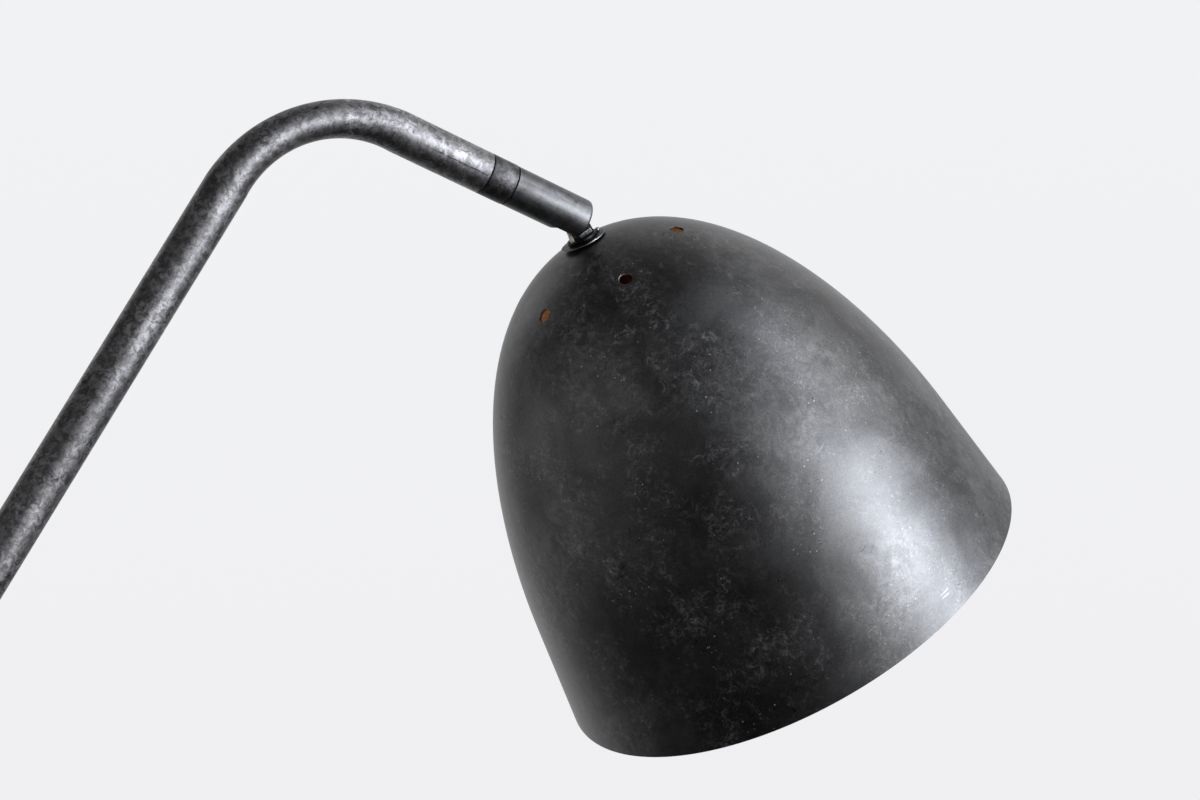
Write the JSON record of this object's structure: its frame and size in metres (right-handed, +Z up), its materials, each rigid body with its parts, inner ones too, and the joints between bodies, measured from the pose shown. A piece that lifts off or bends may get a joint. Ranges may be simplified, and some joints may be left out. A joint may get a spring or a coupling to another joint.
{
  "type": "arc floor lamp",
  "caption": "Floor lamp with a round base, a slender tube stand that leans and bends over, and a bell-shaped metal shade on a swivelling, tilting knuckle.",
  "frame": {"origin": "middle of the underside of the round base, on the floor", "axes": "+Z up; +X from the pole towards the shade; +Y to the left of +X, so that the stand bends in the XZ plane"},
  "size_m": [0.8623, 0.32, 1.4502],
  "materials": {
    "felt_pad": "pressed felt",
    "blackened_steel": "blackened, waxed and mottled, satin",
    "brushed_dark_steel": "brushed, dark, satin",
    "plated_steel": "zinc plated",
    "nickel": "nickel plated",
    "brass": "bright",
    "black_fibre": "matt",
    "black_rubber": "matt",
    "black_phenolic": "gloss",
    "white_ceramic": "unglazed",
    "clear_lead": "clear sheath over brown cores",
    "opal_glass": "opal, lit"
  },
  "bodies": {
    "stand": {"base_pad": "felt_pad", "base_plate": "blackened_steel", "pole_foot": "blackened_steel", "foot_washer": "plated_steel", "foot_nut": "plated_steel", "lower_pole": "blackened_steel", "cable_bush": "black_rubber", "pole_coupling": "blackened_steel", "upper_arm": "blackened_steel", "arm_cable": "clear_lead", "arm_end_plug": "blackened_steel", "swivel_washer": "black_fibre", "swivel_nut": "plated_steel"},
    "swivel": {"swivel_sleeve": "brushed_dark_steel", "swivel_fork": "plated_steel", "pivot_screw": "plated_steel", "pivot_nut": "plated_steel", "friction_washer_near": "black_fibre", "friction_washer_far": "black_fibre"},
    "head": {"knuckle": "blackened_steel", "crown_washer": "blackened_steel", "crown_screw": "plated_steel", "shade": "blackened_steel", "backing_washer": "plated_steel", "ring_nut": "brass", "holder_cap": "black_phenolic", "holder_body": "black_phenolic", "terminal_block": "white_ceramic", "screw_shell": "brass", "centre_contact": "brass", "bulb_cap": "nickel", "bulb_glass": "opal_glass", "knuckle_cable": "clear_lead"}
  },
  "joints": [
    {"name": "head_swivel", "type": "hinge", "parent": "stand", "child": "swivel", "pos_m": [0.40446, 0, 1.41376], "axis": [0.915, 0, -0.4035], "range_deg": [-165, 165]},
    {"name": "shade_tilt", "type": "hinge", "parent": "swivel", "child": "head", "pos_m": [0.45387, 0, 1.39197], "axis": [0, 1, 0], "range_deg": [-30, 55], "deforming": ["knuckle_cable"]}
  ]
}
